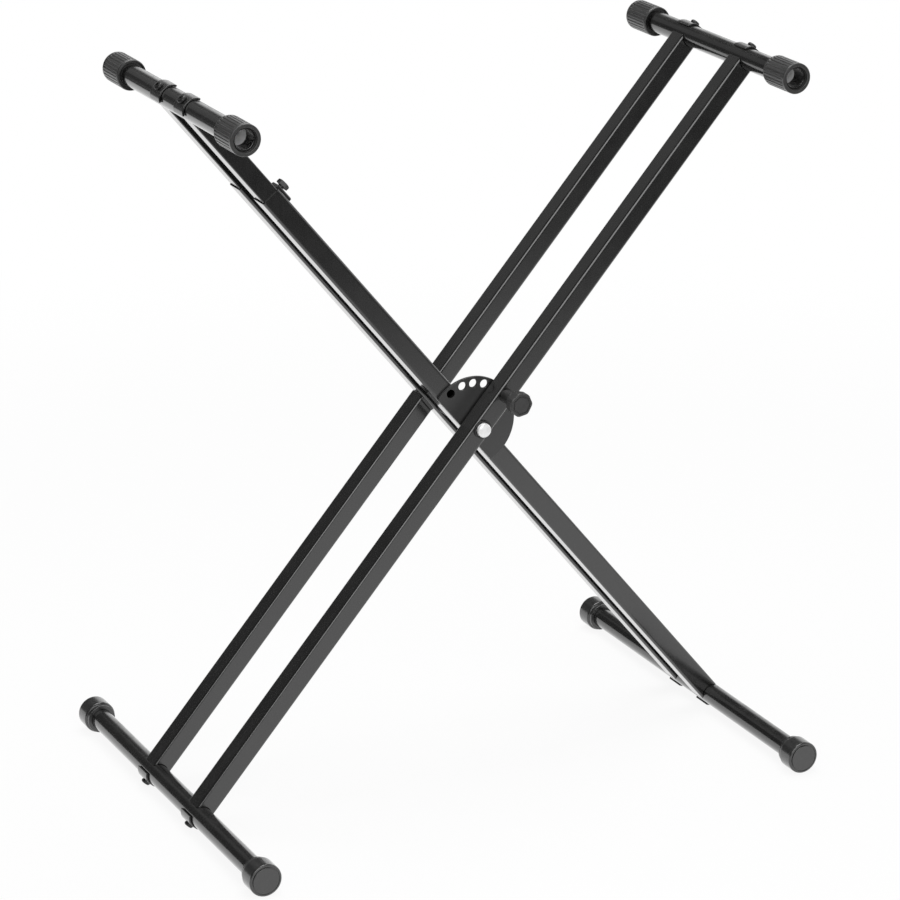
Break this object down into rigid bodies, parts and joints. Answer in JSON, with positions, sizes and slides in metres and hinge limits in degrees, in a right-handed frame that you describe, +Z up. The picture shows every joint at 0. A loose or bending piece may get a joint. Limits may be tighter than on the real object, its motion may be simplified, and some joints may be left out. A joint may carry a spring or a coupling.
{
  "type": "keyboard stand",
  "caption": "Folding X-shaped keyboard stand with double-braced legs, a hole-plate lock with a spring pin, sliding upper arms and ribbed collars on its top bars.",
  "frame": {"origin": "on the floor, under the middle of the open stand's outline", "axes": "+Z up; +X across the spread of the feet, towards the foot bar of the inner frame; +Y along the bars, away from the side with the lock pin"},
  "size_m": [0.6484, 0.449, 0.7439],
  "materials": {
    "leg_coat": "satin black powder coat on steel tube",
    "bar_coat": "semi-gloss black powder coat on round steel tube",
    "saddle_coat": "satin black coat on pressed steel",
    "lock_black": "dark satin coat on steel plate",
    "collar_rubber": "ribbed matte black rubber",
    "foot_rubber": "smooth dark grey rubber",
    "black_bolt": "black zinc on steel",
    "bright_zinc": "bright zinc plate",
    "pin_steel": "turned steel",
    "spring_steel": "spring wire",
    "knob_plastic": "moulded black plastic",
    "plug_nylon": "moulded nylon",
    "spacer_nylon": "black nylon"
  },
  "bodies": {
    "inner_frame": {"inner_leg_far": "leg_coat", "inner_leg_near": "leg_coat", "inner_foot_bar": "bar_coat", "inner_foot_cap_far": "foot_rubber", "inner_foot_cap_near": "foot_rubber", "inner_foot_saddle_far": "saddle_coat", "inner_foot_saddle_near": "saddle_coat", "inner_foot_bolt_far": "black_bolt", "inner_foot_bolt_near": "black_bolt", "inner_foot_plug_far": "plug_nylon", "inner_foot_plug_near": "plug_nylon", "lock_plate": "lock_black", "pivot_shaft": "pin_steel", "pivot_spacer_mid": "spacer_nylon", "pivot_spacer_far": "spacer_nylon", "pivot_washer_far": "black_bolt", "pivot_washer_near": "black_bolt", "pivot_cap_far": "bright_zinc", "pivot_cap_near": "bright_zinc", "clamp_boss": "leg_coat"},
    "outer_frame": {"outer_leg_far": "leg_coat", "outer_leg_near": "leg_coat", "outer_top_bar": "bar_coat", "outer_foot_bar": "bar_coat", "outer_collar_far": "collar_rubber", "outer_collar_near": "collar_rubber", "outer_foot_cap_far": "foot_rubber", "outer_foot_cap_near": "foot_rubber", "outer_top_saddle_far": "saddle_coat", "outer_top_saddle_near": "saddle_coat", "outer_foot_saddle_far": "saddle_coat", "outer_foot_saddle_near": "saddle_coat", "outer_top_bolt_far": "black_bolt", "outer_top_bolt_near": "black_bolt", "outer_foot_bolt_far": "black_bolt", "outer_foot_bolt_near": "black_bolt", "outer_top_plug_far": "plug_nylon", "outer_top_plug_near": "plug_nylon", "outer_foot_plug_far": "plug_nylon", "outer_foot_plug_near": "plug_nylon", "lock_housing": "lock_black", "lock_spring": "spring_steel"},
    "upper_arms": {"upper_arm_far": "leg_coat", "upper_arm_near": "leg_coat", "inner_top_bar": "bar_coat", "inner_collar_far": "collar_rubber", "inner_collar_near": "collar_rubber", "inner_top_saddle_far": "saddle_coat", "inner_top_saddle_near": "saddle_coat", "inner_top_bolt_far": "black_bolt", "inner_top_bolt_near": "black_bolt", "inner_top_plug_far": "plug_nylon", "inner_top_plug_near": "plug_nylon"},
    "lock_pin": {"lock_pin": "pin_steel", "lock_knob": "knob_plastic"},
    "clamp_bolt": {"clamp_bolt": "black_bolt"}
  },
  "joints": [
    {"name": "fold", "type": "hinge", "parent": "inner_frame", "child": "outer_frame", "pos_m": [0.00735, 0, 0.37427], "axis": [0, -1, 0], "range_deg": [0, 75.9]},
    {"name": "arm_slide", "type": "slide", "parent": "inner_frame", "child": "upper_arms", "axis": [-0.6299, 0, 0.7767], "range_m": [-0.1, 0.1]},
    {"name": "lock_pin_travel", "type": "slide", "parent": "outer_frame", "child": "lock_pin", "axis": [0, 1, 0], "range_m": [0, 0.006], "stiffness_N_per_m": 400, "springref_m": 0.006},
    {"name": "clamp_turn", "type": "hinge", "parent": "inner_frame", "child": "clamp_bolt", "pos_m": [-0.19283, -0.0285, 0.63809], "axis": [0.7767, 0, 0.6299], "range_deg": [0, 720]}
  ]
}
